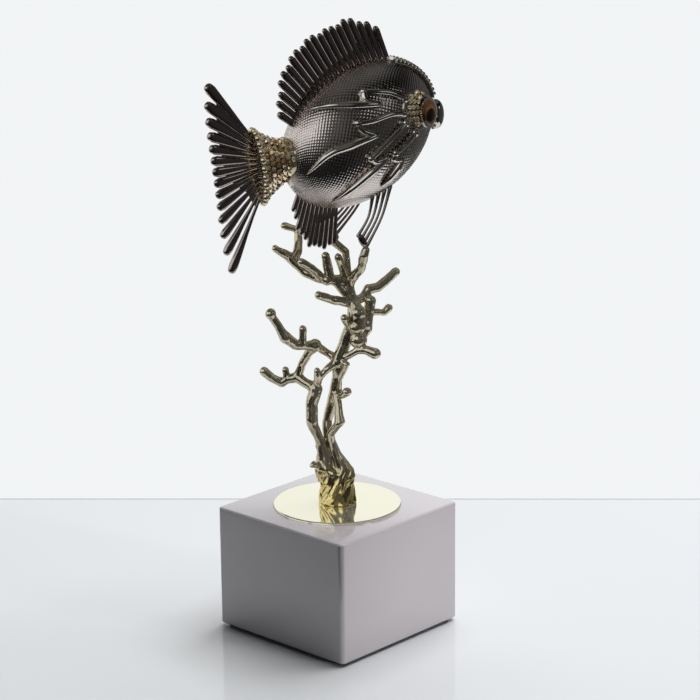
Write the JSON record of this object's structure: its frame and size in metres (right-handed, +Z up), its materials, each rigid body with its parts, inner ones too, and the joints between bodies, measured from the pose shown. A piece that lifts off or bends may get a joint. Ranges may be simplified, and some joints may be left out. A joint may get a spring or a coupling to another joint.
{
  "type": "fish figurine",
  "caption": "Metal fish ornament with rayed fins and crystal-set tail, nose up on a branching coral casting that stands on a gold disc and a square lacquered block.",
  "frame": {"origin": "middle of the underside of the pad, where the ornament rests", "axes": "+Z up; X and Y along the block's faces; the fish heads towards +X, turned to -Y and pitched up"},
  "size_m": [0.117, 0.08, 0.2888],
  "materials": {
    "pad_rubber": "matt foam rubber",
    "block_lacquer": "high-gloss mauve-grey lacquer over wood fibre board",
    "disc_gold": "mirror polish",
    "steel": "zinc plated",
    "coral_gold": "polished pale gold plate on a lost-wax casting",
    "body_chrome": "dark bronze-black plate over a scale texture",
    "fin_chrome": "dark bronze-black plate, polished",
    "trim_chrome": "dark nickel plate, polished",
    "stalk_gold": "gold plate under the crystals",
    "crystal": "faceted, foiled, champagne to topaz",
    "amber_glass": "polished cabochon"
  },
  "bodies": {
    "root": {"base_pad": "pad_rubber", "base_block": "block_lacquer", "disc_plate": "disc_gold", "tie_rod": "steel", "base_washer": "steel", "base_nut": "steel", "coral_stem": "coral_gold", "body_shell_right": "body_chrome", "body_shell_left": "body_chrome", "dorsal_fin": "fin_chrome", "anal_fin": "fin_chrome", "pelvic_fin_right": "fin_chrome", "pelvic_fin_left": "fin_chrome", "tail_fin": "fin_chrome", "tail_stalk": "stalk_gold", "tail_crystals": "crystal", "head_crest": "trim_chrome", "mouth_lips": "trim_chrome", "eye_mask_right": "trim_chrome", "eye_mask_left": "trim_chrome", "eye_right": "amber_glass", "eye_left": "amber_glass", "mask_crystals_right": "crystal", "mask_crystals_left": "crystal", "sprig_1_right": "trim_chrome", "sprig_1_left": "trim_chrome", "sprig_2_right": "trim_chrome", "sprig_2_left": "trim_chrome", "sprig_3_right": "trim_chrome", "sprig_3_left": "trim_chrome", "sprig_4_right": "trim_chrome", "sprig_4_left": "trim_chrome"}
  },
  "joints": []
}
